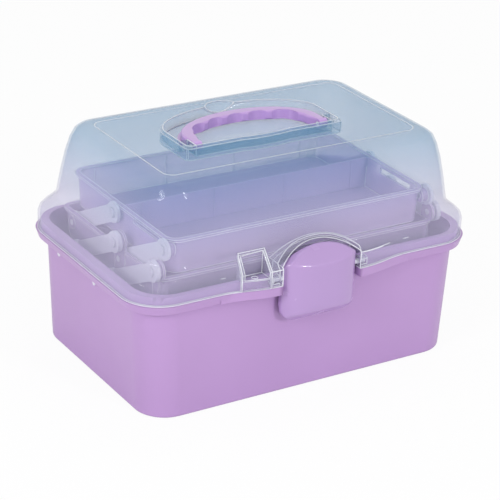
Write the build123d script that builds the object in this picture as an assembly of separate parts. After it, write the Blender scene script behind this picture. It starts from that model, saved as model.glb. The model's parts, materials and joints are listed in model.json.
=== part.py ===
from build123d import *
from math import sqrt
import os

# Cantilever-tray storage case. Millimetres, +Z up, +Y to the hinge side, base centre at the origin.

# Shared
GAP = 0.3            # rest gap between pieces of different bodies
FIT = 0.05           # radial running clearance, shaft in hole
LINK_FIT = 0.12      # radial clearance at the open link pivots
OVER = 1.0           # how far a cutter runs past the face that it opens
FAR = 130.0          # how far out a cutter of the front reaches

# Tub
TUB_BASE = (150.8, 98.6, 27.5)     # half width, half depth, corner radius at the floor
TUB_TOP = (156.6, 99.8, 29.5)      # the same at the collar
TUB_WALL = 2.4
TUB_FLOOR = 3.0
TUB_FOOT_R = 3.0
COLLAR_Z = 98.0
COLLAR_H = 7.2
COLLAR_FOOT = (163.8, 103.6, 32.0)
COLLAR_TOP = (166.3, 105.6, 34.0)
COLLAR_WALL = 2.2
COLLAR_SWELL_SINK = 0.6            # the swelling starts this far inside the collar's face
RIM = (162.0, 101.7, 31.5)         # upstand that the lid skirt slips over
RIM_Z = 112.5

# Latch width and the bay around it, shared by tub and lid
LATCH_HALF = 36.0
BAY_GAP = 2.0                      # free space beside the latch
BAY_X = LATCH_HALF + BAY_GAP
BAY_ARCH_GAP = 1.5                 # free space above the latch
SWELL_FLAT_X = BAY_X + 4.0
SWELL_X = SWELL_FLAT_X + 50.0      # where the front swelling starts
SWELL_OUT = 7.5                    # how far the front swells out
SWELL_BACK = 8.0                   # how far the swelling's root reaches into the wall

# Lid
LID_WALL = 2.0
SKIRT = (165.0, 104.0, 34.0)
SHOULDER_Z = 120.0
SHOULDER = ((3.2, 0.9), (6.0, 3.4), (8.6, 6.8), (11.0, 9.4), (14.0, 12.6), (16.0, 13.8))  # rise, step in
SHOULDER_DEPTH_SHARE = 0.46        # the shoulder is narrower front and rear than at the ends
DOME = (
    (156.0, 148.2, 95.6, 34.0),
    (175.0, 144.4, 91.7, 31.0),
    (187.0, 140.6, 87.8, 27.0),
    (194.0, 137.2, 84.3, 24.0),
    (197.0, 133.4, 80.2, 20.0),
    (198.6, 127.8, 73.9, 15.0),
)                                  # height, half width, half depth, corner radius
LID_TOP = (199.4, 121.7, 65.6, 10.0)
BAY_BACK_Y = -95.0

# Padlock eye, left of the latch
EYE_X = -BAY_X - 23.0
EYE_HALF = 10.5
EYE_DEPTH = 5.5                    # recess behind the skirt's face
EYE_FLOOR_Z = 115.0
EYE_FLOOR = 2.0
EYE_Y = -104.6
EYE_R = 2.6
EYE_PLATE_HALF = 8.0               # half width of the collar's eye plate

# Handle pocket and handle
HANDLE_X = 66.0
HANDLE_ARC_Y = 4.0
HANDLE_REAR_Y = 44.0
HANDLE_W = 11.5
HANDLE_END_W = 8.0                 # the legs taper to this width at the pivots
HANDLE_THICK = 8.6
HANDLE_SUNK = 0.4                  # grip top below the lid top
HANDLE_TOP_Z = LID_TOP[0] - HANDLE_SUNK
HANDLE_BOTTOM_Z = HANDLE_TOP_Z - HANDLE_THICK
HANDLE_PIVOT = (-8.0, HANDLE_BOTTOM_Z + HANDLE_THICK / 2)
HANDLE_EDGE_R = 2.2
HANDLE_FLANGE = 2.6                # ledge round the outside of the grip
HANDLE_FLANGE_Z = 2.6
HANDLE_FLANGE_START = 9.0          # the ledge starts this far behind the pivot
SCALLOP_R = 15.0
SCALLOP_DEPTH = 1.8
SCALLOP_PITCH = 18.5
SCALLOPS = 5
HANDLE_PIN_R = 2.0
POCKET_X = HANDLE_X + 9.0
POCKET_FRONT_Y = HANDLE_PIVOT[0] - 9.0
POCKET_ARC_Y = 20.0
POCKET_REAR_Y = HANDLE_REAR_Y + 15.0
POCKET_CORNER_R = 5.0
POCKET_FLOOR_Z = HANDLE_BOTTOM_Z - 0.9
SCOOP_R = 17.0                     # finger scoop behind the grip, radius at the lid top
SCOOP_Y = POCKET_REAR_Y - 9.0
CHEEK_X = HANDLE_X + 1.0
CHEEK_REACH = 6.0                  # the cheeks run this far behind the pivot

# Latch
LATCH_BACK_Y = -RIM[1] - 0.9
LATCH_FRONT_Y = LATCH_BACK_Y - 15.8
LATCH_BOTTOM_Z = 70.0
LATCH_SIDE_Z = 120.0
LATCH_TOP_Z = LATCH_SIDE_Z + 13.5
LATCH_CREASE_LOW_Z = LATCH_BOTTOM_Z + 9.0
LATCH_CREASE_HIGH_Z = LATCH_SIDE_Z + 0.5
LATCH_FOOT_R = 13.0
LATCH_LIP = 4.0                    # depth of the straight edge behind both slopes
LATCH_CROWN = 2.4
LATCH_CORNER_R = 9.0
LATCH_WALL = 2.2
LATCH_PIVOT = (-106.0, 110.0)
LATCH_PIN_R = 2.2
LATCH_PIN_SEAT = 6.0               # length of a pin's seat in the latch and in the lid
LATCH_LUG_WALL = 2.0
CATCH_X = LATCH_HALF - 12.0
CATCH_Z = (92.0, 96.0)
CATCH_LAND = 1.4
CATCH_TIP_Y = -TUB_TOP[1] - 4.1
BEAD_TOP_Z = CATCH_Z[0] - 0.6
BEAD_HIGH = 3.8

# Rear hinge
HINGE_Y = 110.0
HINGE_Z = 104.0
KNUCKLE_R = 5.0
HINGE_PIN_R = 1.8
HINGE_X = 96.0
LID_KNUCKLE_HALF = 12.0
TUB_KNUCKLE = 10.0
HINGE_REACH = LID_KNUCKLE_HALF + 2 * GAP + TUB_KNUCKLE

# Trays and links
TRAY_WALL = 1.8
TRAY_FLOOR = 1.8
TRAY_LIP = 2.2
LOWER_R = 7.0
UPPER_R = 11.0
DRAFT = 1.4
LOWER_X = 133.5
LOWER_Y = (-79.0, 90.5)
LOWER_Z = (88.0, 118.0)
LOWER_CUT = (14.5, 17.5)           # rear foot cut back so that it swings clear of the rim
UPPER_X = 124.6
UPPER_Y = (-77.5, 90.0)
UPPER_Z = (119.0, 149.0)
UPPER_DIVIDER_Y = 5.0
SLOT_Y = (-60.0, -16.0)
SLOT_Z = (140.5, 145.5)
GUIDE = 0.7                        # ribs that hold loose dividers
GUIDE_HALF = 0.8
GUIDE_PITCH = 70.0
GUIDES = 4
LINK = (-67.0, 34.5)               # rest vector of every link, lower pivot to upper pivot
LINK_R = 9.1
LINK_WAIST = 0.82                  # width of the bar as a share of its round ends
LINK_RECESS = 0.9                  # the bar lies this far below the faces of its ends
LINK_T1 = 4.0
LINK_T2 = 3.0
LINK_PIN_R = 2.5
PIN_HEAD_R = 4.5
PIN_HEAD = 1.4
STAGE1_X = 136.0                   # inner face of the outer links
STAGE2_X = 127.4                   # inner face of the inner links
STAGE1_FRONT = (-8.0, 90.0)
STAGE1_REAR = (56.0, 90.0)
STAGE2_FRONT = (-8.0, 107.0)
STAGE2_REAR = (76.0, 107.0)
POST_R = 7.0
PIN_PROUD = 0.3                    # the tub pins show on the outside as round heads
EAR_R = 8.5
TRAY_BOSS_R = 6.0                  # spacer boss between a tray wall and its link


# ---------- helpers ----------

def level(z, w, d, r, inset=0.0):
    return Pos(0, 0, z) * RectangleRounded(2 * (w - inset), 2 * (d - inset), r - inset)


def block(x0, x1, y0, y1, z0, z1):
    return Pos((x0 + x1) / 2, (y0 + y1) / 2, (z0 + z1) / 2) * Box(x1 - x0, y1 - y0, z1 - z0)


def rod(r, x0, x1, y, z):
    return Pos((x0 + x1) / 2, y, z) * Rot(0, 90, 0) * Cylinder(r, abs(x1 - x0))


def prism_x(points, x0, x1):
    """Closed outline in the YZ plane, extruded along X."""
    face = make_face(Polyline(*[(x0, y, z) for y, z in points], close=True))
    return extrude(face, amount=x1 - x0, dir=(1, 0, 0))


def arch(half, low, side_z, top_z):
    """Upright face with an arched top; seen from the front, it is extruded towards -Y."""
    crown = ThreePointArc((-half, side_z), (0, top_z), (half, side_z))
    rest = Polyline((half, side_z), (half, low), (-half, low), (-half, side_z))
    return make_face(crown + rest)


def upright(face, y0, y1):
    return Pos(0, y1, 0) * extrude(Plane.XZ * face, amount=y1 - y0)


def swell_plan(front_y, out):
    """Plan of the smooth swelling of the front on both sides of the latch."""
    tip = front_y - out
    back_y = front_y + SWELL_BACK
    left = Spline((-SWELL_X, front_y), (-SWELL_FLAT_X, tip), tangents=[(1, 0), (1, 0)])
    flat = Line((-SWELL_FLAT_X, tip), (SWELL_FLAT_X, tip))
    right = Spline((SWELL_FLAT_X, tip), (SWELL_X, front_y), tangents=[(1, 0), (1, 0)])
    back = Polyline((SWELL_X, front_y), (SWELL_X, back_y), (-SWELL_X, back_y), (-SWELL_X, front_y))
    return make_face(left + flat + right + back)


def swell(front_y, out, z0, z1):
    return Pos(0, 0, z0) * extrude(swell_plan(front_y, out), amount=z1 - z0)


def swell_slope(inset, z0, z1):
    """The swelling dies away into the lid's shoulder."""
    step = SHOULDER[-1][1] * SHOULDER_DEPTH_SHARE
    low = Pos(0, 0, z0) * swell_plan(-SKIRT[1] + inset, SWELL_OUT)
    high = Pos(0, 0, z1) * swell_plan(-SKIRT[1] + step + 1 + inset, 0.5)
    return loft([low, high], ruled=True)


def upper_end(base):
    return base[0] + LINK[0], base[1] + LINK[1]


def grow(size, by):
    return tuple(v + by for v in size)


# ---------- tub ----------

def make_tub():
    top_z = COLLAR_Z + COLLAR_H
    skin = loft([level(0, *TUB_BASE), level(top_z, *TUB_TOP)], ruled=True)
    skin = fillet(skin.faces().sort_by(Axis.Z)[0].edges(), TUB_FOOT_R)
    collar = loft([level(COLLAR_Z, *COLLAR_FOOT), level(top_z, *COLLAR_TOP)], ruled=True)
    swell_y = -COLLAR_TOP[1] + COLLAR_SWELL_SINK
    collar += swell(swell_y, SWELL_OUT, COLLAR_Z, top_z)
    groove_top = top_z - COLLAR_WALL
    groove = loft([level(COLLAR_Z - OVER, *grow(COLLAR_FOOT, -COLLAR_WALL)),
                   level(groove_top, *grow(COLLAR_FOOT, -COLLAR_WALL))], ruled=True)
    groove += swell(swell_y + COLLAR_WALL, SWELL_OUT, COLLAR_Z - OVER, groove_top)
    bay_end = BAY_X + COLLAR_WALL
    groove -= block(-bay_end, bay_end, -FAR, 0, COLLAR_Z - 2 * OVER, groove_top + OVER)
    collar -= groove
    rim = Pos(0, 0, top_z - COLLAR_WALL) * extrude(RectangleRounded(2 * RIM[0], 2 * RIM[1], RIM[2]),
                                                    amount=RIM_Z - top_z + COLLAR_WALL)
    collar -= block(-BAY_X, BAY_X, -FAR, -RIM[1], COLLAR_Z - 2 * OVER, RIM_Z + OVER)
    tub = skin + collar + rim
    hollow_top = (tub_half_width(RIM_Z + OVER), TUB_TOP[1], TUB_TOP[2])
    tub -= loft([level(TUB_FLOOR, *TUB_BASE, TUB_WALL), level(RIM_Z + OVER, *hollow_top, TUB_WALL)],
                ruled=True)
    tub += catch_rib()
    for side in (-1, 1):
        for y, z in (STAGE1_FRONT, STAGE1_REAR):
            post = rod(POST_R, side * (STAGE1_X + LINK_T1 + GAP), side * (TUB_TOP[0] - TUB_WALL / 2), y, z)
            bore = rod(LINK_PIN_R + FIT, side * STAGE1_X, side * (TUB_TOP[0] + OVER), y, z)
            tub += post
            tub -= bore
        tub += tub_knuckles(side)
        tub -= rod(KNUCKLE_R + 2 * GAP, side * HINGE_X - LID_KNUCKLE_HALF - GAP,
                   side * HINGE_X + LID_KNUCKLE_HALF + GAP, HINGE_Y, HINGE_Z)
        reach = HINGE_REACH + OVER
        tub -= rod(HINGE_PIN_R + FIT, side * HINGE_X - reach, side * HINGE_X + reach, HINGE_Y, HINGE_Z)
    ledge = block(EYE_X - EYE_PLATE_HALF, EYE_X + EYE_PLATE_HALF, -FAR, -RIM[1], COLLAR_Z - OVER, top_z)
    plate = (tub & ledge) - Pos(EYE_X, EYE_Y, top_z) * Cylinder(EYE_R, 3 * COLLAR_WALL)
    return tub - ledge, plate


def tub_half_width(z):
    return TUB_BASE[0] + (TUB_TOP[0] - TUB_BASE[0]) * z / (COLLAR_Z + COLLAR_H)


def catch_rib():
    wall_y = -TUB_BASE[1]
    low, high = CATCH_Z
    return prism_x([(wall_y, low), (CATCH_TIP_Y, low), (CATCH_TIP_Y, low + CATCH_LAND), (wall_y, high)],
                   -CATCH_X, CATCH_X)


def tub_knuckles(side):
    out = None
    for end in (-1, 1):
        inner = side * HINGE_X + end * (LID_KNUCKLE_HALF + 2 * GAP)
        outer = inner + end * TUB_KNUCKLE
        x0, x1 = min(inner, outer), max(inner, outer)
        knuckle = rod(KNUCKLE_R, x0, x1, HINGE_Y, HINGE_Z)
        web = block(x0, x1, COLLAR_TOP[1] - 1, HINGE_Y, HINGE_Z - KNUCKLE_R, COLLAR_Z + COLLAR_H)
        out = knuckle + web if out is None else out + knuckle + web
    return out


# ---------- lid ----------

def lid_levels(inset, start_z, top_z):
    w, d, r = SKIRT
    out = [level(start_z, w, d, r, inset), level(SHOULDER_Z, w, d, r, inset)]
    for rise, step in SHOULDER:
        z = SHOULDER_Z + rise
        out.append(level(z, w - step, d - step * SHOULDER_DEPTH_SHARE, r, inset))
    for z, half_w, half_d, corner in DOME:
        out.append(level(z, half_w, half_d, corner, inset))
    z, half_w, half_d, corner = LID_TOP
    out.append(level(top_z, half_w, half_d, corner, inset))
    return out


def pocket_outline(grow_by=0.0):
    half = POCKET_X + grow_by
    front = POCKET_FRONT_Y - grow_by
    flat = Pos(0, (front + POCKET_ARC_Y) / 2) * Rectangle(2 * half, POCKET_ARC_Y - front)
    flat = fillet(flat.vertices().group_by(Axis.Y)[0], POCKET_CORNER_R)
    return flat + Pos(0, POCKET_ARC_Y) * Ellipse(half, POCKET_REAR_Y - POCKET_ARC_Y + grow_by)


def make_lid():
    skirt_z = COLLAR_Z + COLLAR_H + GAP
    slope_top = SHOULDER_Z + SHOULDER[-1][0]
    outer = loft(lid_levels(0, skirt_z, LID_TOP[0]), ruled=True)
    outer += swell(-SKIRT[1], SWELL_OUT, skirt_z, SHOULDER_Z)
    outer += swell_slope(0, SHOULDER_Z, slope_top)
    inner = loft(lid_levels(LID_WALL, skirt_z - OVER, LID_TOP[0] - LID_WALL), ruled=True)
    inner += swell(-SKIRT[1] + LID_WALL, SWELL_OUT, skirt_z - OVER, SHOULDER_Z - LID_WALL / 2)
    inner += swell_slope(LID_WALL, SHOULDER_Z - LID_WALL / 2, slope_top - LID_WALL / 2)
    lid = outer - inner

    # sunk handle pocket with its finger scoop, a cap of a sphere that meets the pocket's floor
    pocket_deep = LID_TOP[0] - POCKET_FLOOR_Z
    pocket = Pos(0, 0, POCKET_FLOOR_Z) * extrude(pocket_outline(), amount=2 * pocket_deep)
    pocket_skin = Pos(0, 0, POCKET_FLOOR_Z - LID_WALL) * extrude(pocket_outline(LID_WALL),
                                                                 amount=2 * pocket_deep)
    ball_r = (SCOOP_R ** 2 + pocket_deep ** 2) / (2 * pocket_deep)
    scoop = Pos(0, SCOOP_Y, POCKET_FLOOR_Z + ball_r) * Sphere(ball_r)
    scoop_skin = Pos(0, SCOOP_Y, POCKET_FLOOR_Z + ball_r) * Sphere(ball_r + LID_WALL)
    lid += (pocket_skin + scoop_skin) & outer
    lid -= pocket + scoop
    y, z = HANDLE_PIVOT
    for side in (-1, 1):
        x0, x1 = sorted((side * CHEEK_X, side * (POCKET_X + OVER)))
        lid += block(x0, x1, POCKET_FRONT_Y - OVER, y + CHEEK_REACH, POCKET_FLOOR_Z - OVER, HANDLE_TOP_Z)
        lid -= rod(HANDLE_PIN_R + FIT, side * (CHEEK_X - OVER), side * (POCKET_X - OVER), y, z)

    # latch bay
    bay_top = LATCH_TOP_Z + BAY_ARCH_GAP
    bay_side = LATCH_SIDE_Z + BAY_ARCH_GAP
    bay = upright(arch(BAY_X, skirt_z - 4 * OVER, bay_side, bay_top), -FAR, BAY_BACK_Y)
    bay_skin = upright(arch(BAY_X + LID_WALL, skirt_z, bay_side + LID_WALL, bay_top + LID_WALL),
                       -FAR, BAY_BACK_Y + LID_WALL)
    lid += bay_skin & outer
    lid -= bay
    y, z = LATCH_PIVOT
    for side in (-1, 1):
        boss_end = BAY_X + LATCH_PIN_SEAT + LID_WALL
        boss = rod(LATCH_PIN_R + LID_WALL, side * BAY_X, side * boss_end, y, z)
        lid += boss & outer
        lid -= rod(LATCH_PIN_R + FIT, side * (BAY_X - OVER), side * (BAY_X + LATCH_PIN_SEAT + GAP), y, z)
    lid -= rim_clearance()

    # padlock eye: a recess whose floor has the hole, moulded as a box of its own
    back_y = -SKIRT[1] + EYE_DEPTH
    x0, x1 = EYE_X - EYE_HALF, EYE_X + EYE_HALF
    floor_low = EYE_FLOOR_Z - EYE_FLOOR
    eye = block(x0, x1, -FAR, back_y, EYE_FLOOR_Z, slope_top)
    eye_skin = block(x0 - LID_WALL, x1 + LID_WALL, -FAR, back_y + LID_WALL, floor_low, slope_top)
    lid += eye_skin & outer
    lid -= eye
    box_room = block(x0 - LID_WALL, x1 + LID_WALL, -FAR, back_y + LID_WALL, skirt_z - OVER, slope_top)
    plate = (lid & box_room) - Pos(EYE_X, EYE_Y, EYE_FLOOR_Z - EYE_FLOOR / 2) * Cylinder(EYE_R, EYE_FLOOR)
    lid -= box_room

    # rear knuckles
    for side in (-1, 1):
        x0 = side * HINGE_X - LID_KNUCKLE_HALF
        x1 = side * HINGE_X + LID_KNUCKLE_HALF
        knuckle = rod(KNUCKLE_R, x0, x1, HINGE_Y, HINGE_Z)
        web = prism_x([(SKIRT[1] - 1, skirt_z), (SKIRT[1] - 1, skirt_z + 9), (SKIRT[1] + 1, skirt_z + 9),
                       (HINGE_Y, HINGE_Z + KNUCKLE_R), (HINGE_Y, HINGE_Z + 2),
                       (SKIRT[1] + 1.5, skirt_z)], x0, x1)
        lid += knuckle + web
        lid -= rod(HINGE_PIN_R + FIT, x0 - OVER, x1 + OVER, HINGE_Y, HINGE_Z)
    return lid, plate


def rim_clearance():
    """Room for the tub's upstand behind the latch."""
    half = BAY_X + LATCH_PIN_SEAT + 3 * LID_WALL
    room = 0.8
    return block(-half, half, -RIM[1] - room, -RIM[1] + 5 * LID_WALL, COLLAR_Z, RIM_Z + room)


# ---------- handle ----------

def bail_outline(inset):
    half = HANDLE_X - inset
    end = HANDLE_X - inset * HANDLE_END_W / HANDLE_W
    y_end = HANDLE_PIVOT[0]
    legs = make_face(Polyline((-half, HANDLE_ARC_Y), (half, HANDLE_ARC_Y), (end, y_end), (-end, y_end),
                              close=True))
    bow = Pos(0, HANDLE_ARC_Y) * Ellipse(half, HANDLE_REAR_Y - HANDLE_ARC_Y - inset)
    return legs + bow - Pos(0, y_end - HANDLE_X) * Rectangle(4 * HANDLE_X, 2 * HANDLE_X)


def make_handle():
    ring = bail_outline(0) - bail_outline(HANDLE_W)
    grip_y = HANDLE_REAR_Y - HANDLE_W
    body = Pos(0, 0, HANDLE_BOTTOM_Z) * extrude(ring, amount=HANDLE_THICK)
    rims = body.faces().filter_by(Axis.Z).edges()
    body = fillet(rims.filter_by(lambda e: e.center().Y > HANDLE_PIVOT[0] + GAP), HANDLE_EDGE_R)
    for i in range(SCALLOPS):
        x = (i - (SCALLOPS - 1) / 2) * SCALLOP_PITCH
        edge = HANDLE_ARC_Y + (grip_y - HANDLE_ARC_Y) * sqrt(1 - (x / (HANDLE_X - HANDLE_W)) ** 2)
        scallop = Cylinder(SCALLOP_R, 4 * HANDLE_THICK)
        body -= Pos(x, edge - SCALLOP_R + SCALLOP_DEPTH, HANDLE_BOTTOM_Z) * scallop
    ledge = bail_outline(-HANDLE_FLANGE) - bail_outline(HANDLE_W / 2)
    y, z = HANDLE_PIVOT
    ledge -= Pos(0, y + HANDLE_FLANGE_START - HANDLE_X) * Rectangle(4 * HANDLE_X, 2 * HANDLE_X)
    body += Pos(0, 0, HANDLE_BOTTOM_Z) * extrude(ledge, amount=HANDLE_FLANGE_Z)
    for side in (-1, 1):
        body += rod(HANDLE_THICK / 2, side * (HANDLE_X - HANDLE_END_W), side * HANDLE_X, y, z)
    for side in (-1, 1):
        body -= rod(HANDLE_PIN_R + FIT, side * (HANDLE_X - 2 * HANDLE_END_W), side * POCKET_X, y, z)
    return body


# ---------- latch ----------

def latch_form(inset):
    half = LATCH_HALF - inset
    low = LATCH_BOTTOM_Z + inset
    top = LATCH_TOP_Z - inset
    back = LATCH_BACK_Y + OVER
    front = LATCH_FRONT_Y + inset
    face = arch(half, low, LATCH_SIDE_Z - inset, top)
    face = fillet(face.vertices().group_by(Axis.Y)[0], LATCH_FOOT_R - inset)
    plate = upright(face, -FAR, 0)
    lip_y = LATCH_BACK_Y - LATCH_LIP
    side_view = prism_x([(back, low - OVER), (lip_y, low - OVER), (lip_y - LATCH_LIP, low),
                         (front, LATCH_CREASE_LOW_Z + inset / 2), (front, LATCH_CREASE_HIGH_Z - inset / 2),
                         (lip_y, top - OVER), (back, top + OVER)], -BAY_X, BAY_X)
    crown = ThreePointArc((-half, front + LATCH_CROWN), (0, front), (half, front + LATCH_CROWN))
    sides = Polyline((half, front + LATCH_CROWN), (half, 0), (-half, 0), (-half, front + LATCH_CROWN))
    plan = make_face(crown + sides)
    plan = fillet(plan.vertices().group_by(Axis.Y)[0], LATCH_CORNER_R)
    form = plate & side_view & extrude(plan, amount=LATCH_TOP_Z)
    return form & block(-BAY_X, BAY_X, -FAR, LATCH_BACK_Y, 0, LATCH_TOP_Z)


def make_latch():
    seat_x = LATCH_HALF - LATCH_PIN_SEAT
    mouth = block(-seat_x, seat_x, LATCH_BACK_Y - OVER, LATCH_BACK_Y + OVER,
                  LATCH_BOTTOM_Z + 4 * LATCH_WALL, LATCH_SIDE_Z - 2 * LATCH_WALL)
    latch = latch_form(0) - (latch_form(LATCH_WALL) + mouth)
    high = BEAD_TOP_Z
    low = high - BEAD_HIGH
    front = LATCH_FRONT_Y + LATCH_WALL - OVER
    tip = CATCH_TIP_Y - 1.5 * GAP
    bead = [(front, low - 2 * OVER), (tip - OVER, low), (tip, low + OVER), (tip, high), (front, high)]
    latch += prism_x(bead, -CATCH_X, CATCH_X)
    y, z = LATCH_PIVOT
    for side in (-1, 1):
        lug = rod(LATCH_PIN_R + LATCH_LUG_WALL, side * seat_x, side * (LATCH_HALF - OVER), y, z)
        latch += lug & latch_form(0)
        latch -= rod(LATCH_PIN_R + FIT, side * (seat_x - LATCH_LUG_WALL), side * (LATCH_HALF + OVER), y, z)
    return latch


# ---------- trays ----------

def tray_box(half_w, ys, zs, r, inset, cut):
    y0, y1 = ys
    depth = (y1 - y0) / 2
    mid = (y0 + y1) / 2
    low = zs[0] + (TRAY_FLOOR if inset else 0)
    foot = level(low, half_w - DRAFT, depth - DRAFT, r, inset)
    head = level(zs[1] + (OVER if inset else 0), half_w, depth, r, inset)
    box = Pos(0, mid, 0) * loft([foot, head], ruled=True)
    if cut:
        run, rise = cut
        rear = y1 - inset
        out = rear + run
        box -= prism_x([(rear - run, low - OVER), (rear - run, low), (rear, low + rise), (out, low + rise),
                        (out, low - OVER)], -SKIRT[0], SKIRT[0])
    return box


def guide_ribs(half_w, ys, zs, r, cut):
    """Upright ribs on the front and rear walls that hold loose dividers."""
    liner = tray_box(half_w, ys, zs, r, TRAY_WALL, cut) - tray_box(half_w, ys, zs, r, TRAY_WALL + GUIDE, cut)
    return [liner & slab for slab in guide_slabs(ys[0], ys[1], zs)]


def guide_slabs(y0, y1, zs):
    out = []
    for i in range(GUIDES):
        x = (i - (GUIDES - 1) / 2) * GUIDE_PITCH
        out.append(block(x - GUIDE_HALF, x + GUIDE_HALF, y0, y1, zs[0] + TRAY_FLOOR - OVER, zs[1] - TRAY_LIP))
    return out


def tray_lip(half_w, ys, z, r):
    y0, y1 = ys
    face = RectangleRounded(2 * (half_w + TRAY_LIP), y1 - y0 + 2 * TRAY_LIP, r + TRAY_LIP)
    return Pos(0, (y0 + y1) / 2, z - TRAY_WALL) * extrude(face, amount=TRAY_WALL)


def make_lower_tray():
    hollow = tray_box(LOWER_X, LOWER_Y, LOWER_Z, LOWER_R, TRAY_WALL, LOWER_CUT)
    tray = tray_box(LOWER_X, LOWER_Y, LOWER_Z, LOWER_R, 0, LOWER_CUT)
    tray += tray_lip(LOWER_X, LOWER_Y, LOWER_Z[1], LOWER_R)
    ear_x = LOWER_X - DRAFT
    for side in (-1, 1):
        lip_gap = sorted((side * LOWER_X, side * (LOWER_X + TRAY_LIP + OVER)))
        tray -= block(*lip_gap, LOWER_Y[0] - TRAY_LIP - OVER, 0, LOWER_Z[1] - TRAY_LIP, LOWER_Z[1] + OVER)
        for y, z in (upper_end(STAGE1_FRONT), upper_end(STAGE1_REAR)):
            tray += rod(EAR_R, side * (LOWER_X - TRAY_WALL), side * LOWER_X, y, z)
            tray += block(*sorted((side * (LOWER_X - TRAY_WALL), side * LOWER_X)),
                          max(y - EAR_R, LOWER_Y[0] + LOWER_R / 2), y + EAR_R, LOWER_Z[0] + TRAY_BOSS_R, z)
            tray += rod(TRAY_BOSS_R, side * ear_x, side * (STAGE1_X - GAP), y, z)
        for y, z in (STAGE2_FRONT, STAGE2_REAR):
            tray += rod(TRAY_BOSS_R, side * (ear_x - TRAY_WALL), side * LOWER_X, y, z)
    inner_x = LOWER_X - TRAY_WALL
    tray -= hollow & block(-inner_x, inner_x, -FAR, FAR, 0, LID_TOP[0])
    for rib in guide_ribs(LOWER_X, LOWER_Y, LOWER_Z, LOWER_R, LOWER_CUT):
        tray += rib
    for side in (-1, 1):
        for y, z in (upper_end(STAGE1_FRONT), upper_end(STAGE1_REAR), STAGE2_FRONT, STAGE2_REAR):
            tray -= rod(LINK_PIN_R + FIT, side * (ear_x - 2 * TRAY_WALL), side * STAGE1_X, y, z)
    return tray


def make_upper_tray():
    tray = tray_box(UPPER_X, UPPER_Y, UPPER_Z, UPPER_R, 0, None)
    tray += tray_lip(UPPER_X, UPPER_Y, UPPER_Z[1], UPPER_R)
    for side in (-1, 1):
        for y, z in (upper_end(STAGE2_FRONT), upper_end(STAGE2_REAR)):
            tray += rod(TRAY_BOSS_R, side * (UPPER_X - TRAY_WALL - DRAFT), side * (STAGE2_X - GAP), y, z)
    tray -= tray_box(UPPER_X, UPPER_Y, UPPER_Z, UPPER_R, TRAY_WALL, None)
    inside = UPPER_X - TRAY_WALL / 2 - DRAFT
    y0, y1 = UPPER_DIVIDER_Y - TRAY_WALL / 2, UPPER_DIVIDER_Y + TRAY_WALL / 2
    tray += block(-inside, inside, y0, y1, UPPER_Z[0] + OVER, UPPER_Z[1] - OVER)
    for rib in guide_ribs(UPPER_X, UPPER_Y, UPPER_Z, UPPER_R, None):
        tray += rib
    for slab in guide_slabs(y0 - GUIDE, y1 + GUIDE, UPPER_Z):
        tray += slab
    for side in (-1, 1):
        wall = sorted((side * (UPPER_X - DRAFT - 2 * TRAY_WALL), side * (UPPER_X + OVER)))
        tray -= block(*wall, *SLOT_Y, *SLOT_Z)
        for y, z in (upper_end(STAGE2_FRONT), upper_end(STAGE2_REAR)):
            tray -= rod(LINK_PIN_R + FIT, side * (UPPER_X - DRAFT - 2 * TRAY_WALL), side * STAGE2_X, y, z)
    return tray


# ---------- links and pins ----------

def make_link(side, x, thick, base, open_end):
    """A link bar, recessed between the round bosses of its two ends."""
    y0, z0 = base
    y1, z1 = upper_end(base)
    length = sqrt(LINK[0] ** 2 + LINK[1] ** 2)
    waist = LINK_R * LINK_WAIST / length
    ny, nz = -LINK[1] * waist, LINK[0] * waist
    bar_xs = sorted((side * x, side * (x + thick - LINK_RECESS)))
    link = prism_x([(y0 + ny, z0 + nz), (y1 + ny, z1 + nz), (y1 - ny, z1 - nz), (y0 - ny, z0 - nz)], *bar_xs)
    for y, z in ((y0, z0), (y1, z1)):
        link += rod(LINK_R, side * x, side * (x + thick), y, z)
    far_fit = LINK_FIT if open_end else FIT
    for fit, y, z in ((FIT, y0, z0), (far_fit, y1, z1)):
        link -= rod(LINK_PIN_R + fit, side * (x - OVER), side * (x + thick + OVER), y, z)
    return link


def make_pin(side, head_x, tip_x, base):
    """Headed pin; head_x is the face of the head that lies against the link."""
    y, z = base
    out_x = head_x - PIN_HEAD if head_x < tip_x else head_x + PIN_HEAD
    pin = rod(LINK_PIN_R, side * head_x, side * tip_x, y, z)
    pin += rod(PIN_HEAD_R, side * out_x, side * head_x, y, z)
    return pin


def link_set():
    parts = {}
    for side, hand in ((-1, "left"), (1, "right")):
        for row, low, high in (("front", STAGE1_FRONT, STAGE2_FRONT), ("rear", STAGE1_REAR, STAGE2_REAR)):
            driver = row == "rear" and side == -1
            parts[f"lower_link_{hand}_{row}"] = make_link(side, STAGE1_X, LINK_T1, low, not driver)
            parts[f"upper_link_{hand}_{row}"] = make_link(side, STAGE2_X, LINK_T2, high, not driver)
            pin_tip = tub_half_width(low[1]) + PIN_PROUD
            parts[f"tub_pin_{hand}_{row}"] = make_pin(side, STAGE1_X - GAP, pin_tip, low)
            parts[f"lower_tray_outer_pin_{hand}_{row}"] = make_pin(
                side, STAGE1_X + LINK_T1 + GAP, LOWER_X - TRAY_WALL, upper_end(low))
            parts[f"lower_tray_inner_pin_{hand}_{row}"] = make_pin(side, STAGE2_X - GAP, LOWER_X, high)
            parts[f"upper_tray_pin_{hand}_{row}"] = make_pin(
                side, STAGE2_X + LINK_T2 + GAP, UPPER_X - TRAY_WALL, upper_end(high))
    return parts


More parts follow.
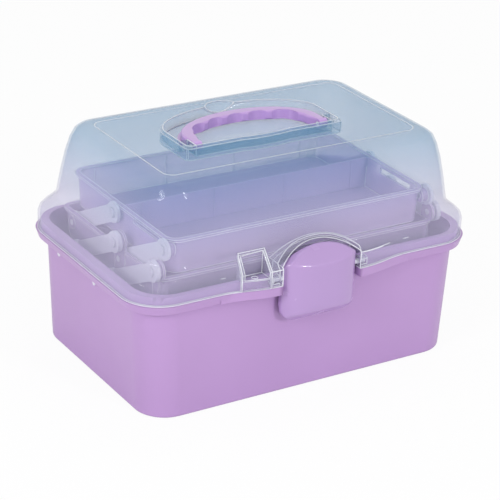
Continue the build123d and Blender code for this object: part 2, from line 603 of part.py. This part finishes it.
def main():
    tub, collar_plate = make_tub()
    lid, lid_plate = make_lid()
    parts = {
        "tub": tub,
        "collar_eye_plate": collar_plate,
        "lid": lid,
        "lid_eye_plate": lid_plate,
        "handle": make_handle(),
        "latch": make_latch(),
        "lower_tray": make_lower_tray(),
        "upper_tray": make_upper_tray(),
    }
    parts.update(link_set())
    for side, hand in ((-1, "left"), (1, "right")):
        mid = side * HINGE_X
        parts[f"hinge_pin_{hand}"] = rod(HINGE_PIN_R, mid - HINGE_REACH, mid + HINGE_REACH, HINGE_Y, HINGE_Z)
        parts[f"handle_pin_{hand}"] = rod(HANDLE_PIN_R, side * (HANDLE_X - HANDLE_END_W),
                                          side * (POCKET_X - OVER), *HANDLE_PIVOT)
        parts[f"latch_pin_{hand}"] = rod(LATCH_PIN_R, side * (LATCH_HALF - LATCH_PIN_SEAT),
                                         side * (BAY_X + LATCH_PIN_SEAT), *LATCH_PIVOT)
    os.makedirs("parts", exist_ok=True)
    for name, shape in parts.items():
        export_step(shape, f"parts/{name}.step")


main()
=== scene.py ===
import json
from math import cos, radians, sin

import bpy
from mathutils import Matrix, Vector


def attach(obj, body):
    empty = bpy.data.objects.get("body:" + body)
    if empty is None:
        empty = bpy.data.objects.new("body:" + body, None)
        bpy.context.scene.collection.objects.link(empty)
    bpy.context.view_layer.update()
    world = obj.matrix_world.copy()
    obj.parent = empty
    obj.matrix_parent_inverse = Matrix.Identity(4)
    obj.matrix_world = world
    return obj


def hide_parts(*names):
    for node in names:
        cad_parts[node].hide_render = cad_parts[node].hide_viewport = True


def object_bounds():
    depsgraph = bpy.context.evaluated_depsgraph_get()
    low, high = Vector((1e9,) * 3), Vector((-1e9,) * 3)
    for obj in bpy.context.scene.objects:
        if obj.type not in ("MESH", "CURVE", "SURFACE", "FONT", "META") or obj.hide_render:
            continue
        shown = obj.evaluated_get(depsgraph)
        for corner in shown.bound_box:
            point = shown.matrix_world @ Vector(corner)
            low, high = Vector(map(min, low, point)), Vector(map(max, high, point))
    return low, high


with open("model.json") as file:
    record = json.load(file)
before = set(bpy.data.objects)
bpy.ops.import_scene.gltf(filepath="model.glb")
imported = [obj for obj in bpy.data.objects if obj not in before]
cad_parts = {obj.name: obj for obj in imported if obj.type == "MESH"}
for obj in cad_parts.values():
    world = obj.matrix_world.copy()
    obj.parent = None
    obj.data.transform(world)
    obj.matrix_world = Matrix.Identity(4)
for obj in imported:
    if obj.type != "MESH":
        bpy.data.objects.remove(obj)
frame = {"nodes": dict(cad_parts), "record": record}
cadBox = [list(corner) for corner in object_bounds()]
nodes = frame["nodes"]
bodies = frame["record"]["behaviour"]["bodies"]
bodyOf = {node: body for body, members in bodies.items() for node in members}
bpy.context.scene.view_settings.view_transform = "Standard"
print("frame loaded:", len(nodes), "nodes")

# view

viewValues = {
    "azimuth": -32.698,  # degrees, 0 looks along +Y
    "elevation": 24.190,
    "roll": 2.536,
    "distance": 1.70646,
    "target": (0.0, 0.0, 0.090),
    "lens": 141.96,
    "sensor": 36,
    "shift": (0.0005, -0.01174),
    "clipEnd": 20,
}


def aimCamera(values):
    a, e, r = (radians(values[key]) for key in ("azimuth", "elevation", "roll"))
    back = Vector((sin(a) * cos(e), -cos(a) * cos(e), sin(e)))
    right = Vector((cos(a), sin(a), 0))
    up = back.cross(right)
    rolledRight = right * cos(r) + up * sin(r)
    rolledUp = up * cos(r) - right * sin(r)
    place = Vector(values["target"]) + back * values["distance"]
    turn = Matrix((rolledRight, rolledUp, back)).transposed().to_4x4()
    bpy.ops.object.camera_add()
    camera = bpy.context.object
    camera.name = "photoCamera"
    camera.matrix_world = Matrix.Translation(place) @ turn
    camera.data.lens = values["lens"]
    camera.data.sensor_width = values["sensor"]
    camera.data.shift_x, camera.data.shift_y = values["shift"]
    camera.data.clip_end = values["clipEnd"]
    bpy.context.scene.camera = camera


aimCamera(viewValues)
print("camera aimed")

# studio: white surroundings, soft lamps, a pale floor that keeps the shadow

studioValues = {
    "worldStrength": 0.62,
    "worldColor": (1.0, 1.0, 1.0, 1),  # what lights the object
    "backdropColor": (1.0, 1.0, 1.0, 1),  # what the camera sees behind it
    "backdropStrength": 1.0,
    "floorSize": 12,
    "floorColor": (0.90, 0.90, 0.91, 1),
    "floorShown": 0.07,  # share of the lit floor that the camera sees, the rest is backdrop
}

lamps = {
    "leftSoftbox": {
        "place": (-1.5, -0.5, 0.80), "aim": (0, 0, 0.1), "size": (0.5, 0.5), "power": 11},
    "frontWindow": {
        "place": (0.45, -1.9, 0.95), "aim": (0, 0, 0.12), "size": (0.30, 0.30), "power": 13},
    "topSoftbox": {
        "place": (0.5, 0.5, 1.8), "aim": (0, 0, 0.1), "size": (0.9, 0.9), "power": 3},
}


def linkNodes(tree, *pairs):
    for source, target in pairs:
        tree.links.new(source, target)


def addMath(tree, operation, second=0.5):
    made = tree.nodes.new("ShaderNodeMath")
    made.operation = operation
    made.inputs[1].default_value = second
    return made


def addRange(tree, source, target):
    made = tree.nodes.new("ShaderNodeMapRange")
    for socket, value in zip(("From Min", "From Max", "To Min", "To Max"), source + target):
        made.inputs[socket].default_value = value
    return made


def anyRay(tree, *rays):  # 1 for a ray of one of the named kinds, otherwise 0
    path = tree.nodes.new("ShaderNodeLightPath")
    found = path.outputs[rays[0]]
    for ray in rays[1:]:
        either = addMath(tree, "MAXIMUM")
        linkNodes(tree, (found, either.inputs[0]), (path.outputs[ray], either.inputs[1]))
        found = either.outputs[0]
    return found


def mixToSurface(tree, outputKind, share, first, second):
    mix = tree.nodes.new("ShaderNodeMixShader")
    out = tree.nodes.new(outputKind)
    linkNodes(tree, (share, mix.inputs["Fac"]),
              (first.outputs[0], mix.inputs[1]), (second.outputs[0], mix.inputs[2]),
              (mix.outputs[0], out.inputs["Surface"]))


def makeWorld(values):
    world = bpy.data.worlds.new("studioWorld")
    bpy.context.scene.world = world
    world.use_nodes = True
    tree = world.node_tree
    tree.nodes.clear()
    lit = tree.nodes.new("ShaderNodeBackground")
    lit.inputs["Color"].default_value = values["worldColor"]
    lit.inputs["Strength"].default_value = values["worldStrength"]
    backdrop = tree.nodes.new("ShaderNodeBackground")
    backdrop.inputs["Color"].default_value = values["backdropColor"]
    backdrop.inputs["Strength"].default_value = values["backdropStrength"]
    seen = anyRay(tree, "Is Camera Ray", "Is Glossy Ray", "Is Transmission Ray")
    mixToSurface(tree, "ShaderNodeOutputWorld", seen, lit, backdrop)


def makeFloor(values):
    bpy.ops.mesh.primitive_plane_add(size=values["floorSize"])
    floor = bpy.context.object
    floor.name = "paleFloor"
    material = bpy.data.materials.new("paleFloor")
    material.use_nodes = True
    tree = material.node_tree
    tree.nodes.clear()
    diffuse = tree.nodes.new("ShaderNodeBsdfDiffuse")
    diffuse.inputs["Color"].default_value = values["floorColor"]
    backdrop = tree.nodes.new("ShaderNodeEmission")
    backdrop.inputs["Color"].default_value = values["backdropColor"]
    backdrop.inputs["Strength"].default_value = values["backdropStrength"]
    share = addMath(tree, "MULTIPLY", 1 - values["floorShown"])
    linkNodes(tree, (anyRay(tree, "Is Camera Ray", "Is Transmission Ray"), share.inputs[0]))
    mixToSurface(tree, "ShaderNodeOutputMaterial", share.outputs[0], diffuse, backdrop)
    floor.data.materials.append(material)


def addLamp(name, values):
    bpy.ops.object.light_add(type="AREA", location=values["place"])
    lamp = bpy.context.object
    lamp.name = name
    lamp.data.shape = "RECTANGLE"
    lamp.data.size, lamp.data.size_y = values["size"]
    lamp.data.energy = values["power"]
    towards = Vector(values["aim"]) - Vector(values["place"])
    lamp.rotation_euler = towards.to_track_quat("-Z", "Y").to_euler()


makeWorld(studioValues)
makeFloor(studioValues)
for name, values in lamps.items():
    addLamp(name, values)
print("studio ready")

# finishes: one moulded skin, cloudy in colour and faintly uneven in gloss, for every plastic

skinValues = {
    "cloudScale": 9,
    "cloudDetail": 3,
    "cloudRange": (0.3, 0.7),  # the part of the noise that swings the colour from -1 to 1
    "grainScale": 60,
    "grainDetail": 2,
    "glossSpread": 0.08,
    "bumpDepth": 0.001,
}


def newGroup(name, inputs, outputs):
    tree = bpy.data.node_groups.new(name, "ShaderNodeTree")
    for kind, socket, value in inputs:
        made = tree.interface.new_socket(socket, in_out="INPUT", socket_type=kind)
        made.default_value = value
    for kind, socket in outputs:
        tree.interface.new_socket(socket, in_out="OUTPUT", socket_type=kind)
    return tree, tree.nodes.new("NodeGroupInput"), tree.nodes.new("NodeGroupOutput")


def addNoise(tree, place, scale, detail):
    noise = tree.nodes.new("ShaderNodeTexNoise")
    noise.inputs["Scale"].default_value = scale
    noise.inputs["Detail"].default_value = detail
    linkNodes(tree, (place.outputs["Object"], noise.inputs["Vector"]))
    return noise.outputs["Fac"]


def makeMouldedSkin(values):
    tree, given, result = newGroup(
        "mouldedSkin",
        [("NodeSocketColor", "Color", (0.5, 0.5, 0.5, 1)),
         ("NodeSocketFloat", "Cloudiness", 0.04),
         ("NodeSocketFloat", "Roughness", 0.3),
         ("NodeSocketFloat", "Ripple", 0.05)],
        [("NodeSocketColor", "Color"),
         ("NodeSocketFloat", "Roughness"),
         ("NodeSocketVector", "Normal")])
    place = tree.nodes.new("ShaderNodeTexCoord")
    cloud = addNoise(tree, place, values["cloudScale"], values["cloudDetail"])
    grain = addNoise(tree, place, values["grainScale"], values["grainDetail"])
    swing = addRange(tree, values["cloudRange"], (-1, 1))
    amount = addMath(tree, "MULTIPLY")
    lift = addMath(tree, "ADD", 1)
    tone = tree.nodes.new("ShaderNodeHueSaturation")
    rough = addMath(tree, "MULTIPLY_ADD", values["glossSpread"])
    bump = tree.nodes.new("ShaderNodeBump")
    bump.inputs["Distance"].default_value = values["bumpDepth"]
    linkNodes(tree, (cloud, swing.inputs["Value"]),
              (swing.outputs["Result"], amount.inputs[0]),
              (given.outputs["Cloudiness"], amount.inputs[1]),
              (amount.outputs[0], lift.inputs[0]),
              (lift.outputs[0], tone.inputs["Value"]),
              (given.outputs["Color"], tone.inputs["Color"]),
              (tone.outputs["Color"], result.inputs["Color"]),
              (grain, rough.inputs[0]),
              (given.outputs["Roughness"], rough.inputs[2]),
              (rough.outputs[0], result.inputs["Roughness"]),
              (grain, bump.inputs["Height"]),
              (given.outputs["Ripple"], bump.inputs["Strength"]),
              (bump.outputs["Normal"], result.inputs["Normal"]))
    return tree


skinGroup = makeMouldedSkin(skinValues)


def paintedRefractionByHeight(tree, values, colorSocket):  # painted refraction: a clear wall's colour goes from a whiter low colour to a deeper tint towards its top
    place = tree.nodes.new("ShaderNodeTexCoord")
    height = tree.nodes.new("ShaderNodeSeparateXYZ")
    rise = addRange(tree, (values["lowZ"], values["highZ"]), (0, 1))
    tint = tree.nodes.new("ShaderNodeMix")
    tint.data_type = "RGBA"
    tint.inputs["A"].default_value = values["lowColor"]
    tint.inputs["B"].default_value = values["color"]
    linkNodes(tree, (place.outputs["Object"], height.inputs["Vector"]),
              (height.outputs["Z"], rise.inputs["Value"]),
              (rise.outputs["Result"], tint.inputs["Factor"]),
              (tint.outputs["Result"], colorSocket))


def seeThrough(tree, values, alphaSocket):  # denser where the wall is seen edge on
    facing = tree.nodes.new("ShaderNodeLayerWeight")
    facing.inputs["Blend"].default_value = values["alphaBlend"]
    density = addRange(tree, (0, 1), (values["alpha"], values["edgeAlpha"]))
    linkNodes(tree, (facing.outputs["Facing"], density.inputs["Value"]),
              (density.outputs["Result"], alphaSocket))


def mouldedPlastic(name, values):
    material = bpy.data.materials.new(name)
    material.use_nodes = True
    tree = material.node_tree
    shader = tree.nodes["Principled BSDF"]
    skin = tree.nodes.new("ShaderNodeGroup")
    skin.node_tree = skinGroup
    for socket in ("Color", "Cloudiness", "Roughness", "Ripple"):
        skin.inputs[socket].default_value = values[socket.lower()]
    linkNodes(tree, (skin.outputs["Color"], shader.inputs["Base Color"]),
              (skin.outputs["Roughness"], shader.inputs["Roughness"]),
              (skin.outputs["Normal"], shader.inputs["Normal"]))
    for socket, value in values.get("shader", {}).items():
        shader.inputs[socket].default_value = value
    if "lowColor" in values:
        paintedRefractionByHeight(tree, values, skin.inputs["Color"])
    if "alpha" in values:
        seeThrough(tree, values, shader.inputs["Alpha"])
    return material


finishes = {
    "tubPlastic": {
        "color": (0.452, 0.278, 0.555, 1), "cloudiness": 0.03, "roughness": 0.30, "ripple": 0.03,
        "shader": {"Coat Weight": 0.25, "Coat Roughness": 0.08}},
    "latchPlastic": {
        "color": (0.43, 0.285, 0.56, 1), "cloudiness": 0.02, "roughness": 0.22, "ripple": 0.02,
        "shader": {"Coat Weight": 0.4, "Coat Roughness": 0.05}},
    # the handle is the same trim plastic as the latch, set a lighter colour: painted light
    "handlePlastic": {
        "color": (0.50, 0.31, 0.66, 1), "cloudiness": 0.02, "roughness": 0.20, "ripple": 0.02,
        "shader": {"Coat Weight": 0.5, "Coat Roughness": 0.05}},
    "lidClear": {
        "color": (0.10, 0.35, 0.59, 1), "cloudiness": 0.04, "roughness": 0.03, "ripple": 0.01,
        # lowColor to color from lowZ to highZ is painted refraction: whiter lavender low on the
        # lid, deeper blue at its top
        "lowColor": (0.66, 0.64, 0.86, 1), "lowZ": 0.140, "highZ": 0.196,
        "alpha": 0.19, "edgeAlpha": 0.62, "alphaBlend": 0.10, "shader": {"IOR": 1.49}},
    # near-white, fairly opaque finish of the beads that paint the highlights along the clear
    # mouldings' edges
    "edgeLine": {
        "color": (0.92, 0.94, 0.98, 1), "cloudiness": 0.02, "roughness": 0.10, "ripple": 0.01,
        "alpha": 0.70, "edgeAlpha": 0.85, "alphaBlend": 0.3, "shader": {"IOR": 1.49}},
    "trayClear": {
        "color": (0.78, 0.62, 0.94, 1), "cloudiness": 0.03, "roughness": 0.16, "ripple": 0.01,
        "alpha": 0.42, "edgeAlpha": 0.70, "alphaBlend": 0.20, "shader": {"IOR": 1.46}},
    "linkFrosted": {
        "color": (0.88, 0.88, 0.98, 1), "cloudiness": 0.04, "roughness": 0.38, "ripple": 0.04,
        "alpha": 0.62, "edgeAlpha": 0.85, "alphaBlend": 0.4},
    "pinPlastic": {
        "color": (0.66, 0.66, 0.74, 1), "cloudiness": 0.02, "roughness": 0.30, "ripple": 0.02},
}
materials = {name: mouldedPlastic(name, values) for name, values in finishes.items()}
print("finishes ready:", len(materials))

# links and pins keep their CAD shape and get a finish, the moulded shells are replaced below

for node, piece in nodes.items():
    piece.data.materials.clear()
    piece.data.materials.append(materials["linkFrosted" if "link" in node else "pinPlastic"])
print("links and pins dressed")

# moulded shells: the CAD shape with even shading, and a rounded front on the latch

softShells = {
    "tub": {"finish": "tubPlastic", "slot": "tub_plastic"},
    "collar_eye_plate": {"finish": "tubPlastic", "slot": "tub_plastic"},
    "lid": {"finish": "lidClear", "slot": "lid_clear"},
    "lid_eye_plate": {"finish": "lidClear", "slot": "lid_clear"},
    "handle": {"finish": "handlePlastic", "slot": "trim_plastic"},
    "latch": {"finish": "latchPlastic", "slot": "trim_plastic", "roundedFront": True},
    "lower_tray": {"finish": "trayClear", "slot": "tray_clear"},
    "upper_tray": {"finish": "trayClear", "slot": "tray_clear"},
}

meshValues = {
    "mergeDistance": 0.00001,  # joins the loose CAD triangles
    "flatAngle": 1,  # degrees, edges flatter than this are dissolved
    "smoothAngle": 38,  # degrees, edges sharper than this stay crisp
}

latchForm = {
    "voxel": 0.0009,
    "half": 0.036,  # half width
    "low": 0.070,  # bottom and top of the latch front
    "high": 0.1335,
    "backY": -0.1050,  # the form behind this plane stays as it is
    "sidePower": 4.5,  # a higher power keeps more of the front flat
    "endPower": 7.0,
    "sideDrop": 0.62,  # share of its depth that the front loses at its sides
    "endDrop": 0.45,  # and at its top and bottom
    "smoothPasses": 10,
}


def selectOnly(piece):
    bpy.ops.object.select_all(action="DESELECT")
    piece.select_set(True)
    bpy.context.view_layer.objects.active = piece


def camelName(node):
    first, *rest = node.split("_")
    return first + "".join(word.capitalize() for word in rest)


def mergedCopy(node, name):
    piece = bpy.data.objects.new(name, nodes[node].data.copy())
    bpy.context.scene.collection.objects.link(piece)
    piece.data.materials.clear()
    selectOnly(piece)
    bpy.ops.object.mode_set(mode="EDIT")
    bpy.ops.mesh.select_all(action="SELECT")
    bpy.ops.mesh.remove_doubles(threshold=meshValues["mergeDistance"])
    bpy.ops.mesh.dissolve_limited(angle_limit=radians(meshValues["flatAngle"]))
    bpy.ops.object.mode_set(mode="OBJECT")
    return piece


def roundLatch(piece, values):
    remesh = piece.modifiers.new("evenSkin", "REMESH")
    remesh.mode = "VOXEL"
    remesh.voxel_size = values["voxel"]
    bpy.ops.object.modifier_apply(modifier=remesh.name)
    middle = (values["low"] + values["high"]) / 2
    tall = (values["high"] - values["low"]) / 2
    for vertex in piece.data.vertices:
        depth = values["backY"] - vertex.co.y
        if depth > 0:
            side = min(abs(vertex.co.x) / values["half"], 1) ** values["sidePower"]
            end = min(abs(vertex.co.z - middle) / tall, 1) ** values["endPower"]
            depth *= 1 - values["sideDrop"] * side
            depth *= 1 - values["endDrop"] * end
            vertex.co.y = values["backY"] - depth
    soften = piece.modifiers.new("softSkin", "SMOOTH")
    soften.iterations = values["smoothPasses"]
    bpy.ops.object.modifier_apply(modifier=soften.name)


def softenShell(node, values):
    piece = mergedCopy(node, camelName(node) + "Moulding")
    piece.data.materials.append(materials[values["finish"]])
    if values.get("roundedFront"):
        roundLatch(piece, latchForm)
    bpy.ops.object.shade_smooth_by_angle(angle=radians(meshValues["smoothAngle"]))
    even = piece.modifiers.new("evenNormals", "WEIGHTED_NORMAL")  # long walls stay flat at corners
    even.keep_sharp = True
    bpy.ops.object.modifier_apply(modifier=even.name)
    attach(piece, bodyOf[node])
    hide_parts(node)


for node, values in softShells.items():
    softenShell(node, values)
print("mouldings softened:", len(softShells))

# painted highlights on the clear mouldings: a fine whitish rounded bead along every sharp edge
# paints the bright edge highlight

paintedEdgeHighlights = {
    "lid": {"radius": 0.00046, "sharp": 32, "slot": "lid_clear"},
    "lid_eye_plate": {"radius": 0.00030, "sharp": 32, "slot": "lid_clear"},
    "lower_tray": {"radius": 0.00022, "sharp": 32, "slot": "tray_clear"},
    "upper_tray": {"radius": 0.00026, "sharp": 32, "slot": "tray_clear"},
}

beadValues = {"rounding": 1, "smoothAngle": 60}

# the rim of the lid's flat top is too soft to count as sharp: it is what lies this high, and
# outside x or y
domeRim = {"z": cadBox[1][2] - 0.00002, "x": 0.100, "y": 0.064}


def onDomeRim(point, values):
    outside = abs(point.x) > values["x"] or abs(point.y) > values["y"]
    return outside and point.z > values["z"]


def markDomeRim(piece, values):
    mesh = piece.data
    for edge in mesh.edges:
        if all(onDomeRim(mesh.vertices[i].co, values) for i in edge.vertices):
            edge.select = True


# each bead paints a highlight along an edge of the clear moulding
def paintedHighlightBeads(node, values):
    name = camelName(node) + "EdgeLines"
    piece = mergedCopy(node, name)
    bpy.ops.object.mode_set(mode="EDIT")
    bpy.ops.mesh.select_mode(type="EDGE")
    bpy.ops.mesh.select_all(action="DESELECT")
    bpy.ops.mesh.edges_select_sharp(sharpness=radians(values["sharp"]))
    bpy.ops.object.mode_set(mode="OBJECT")
    markDomeRim(piece, domeRim)
    bpy.ops.object.mode_set(mode="EDIT")
    bpy.ops.mesh.select_all(action="INVERT")
    bpy.ops.mesh.delete(type="EDGE_FACE")
    bpy.ops.object.mode_set(mode="OBJECT")
    bpy.ops.object.convert(target="CURVE")
    piece = bpy.context.object
    piece.data.bevel_depth = values["radius"]
    piece.data.bevel_resolution = beadValues["rounding"]
    piece.data.use_fill_caps = True
    bpy.ops.object.convert(target="MESH")
    piece = bpy.context.object
    piece.name = name
    for vertex in piece.data.vertices:  # the bead is flush with the outermost faces
        vertex.co = [min(max(value, low), high) for value, low, high in zip(vertex.co, *cadBox)]
    piece.data.materials.clear()
    piece.data.materials.append(materials["edgeLine"])
    bpy.ops.object.shade_smooth_by_angle(angle=radians(beadValues["smoothAngle"]))
    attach(piece, bodyOf[node])
    print("edge lines:", name, len(piece.data.polygons), "faces")


for node, values in paintedEdgeHighlights.items():
    paintedHighlightBeads(node, values)
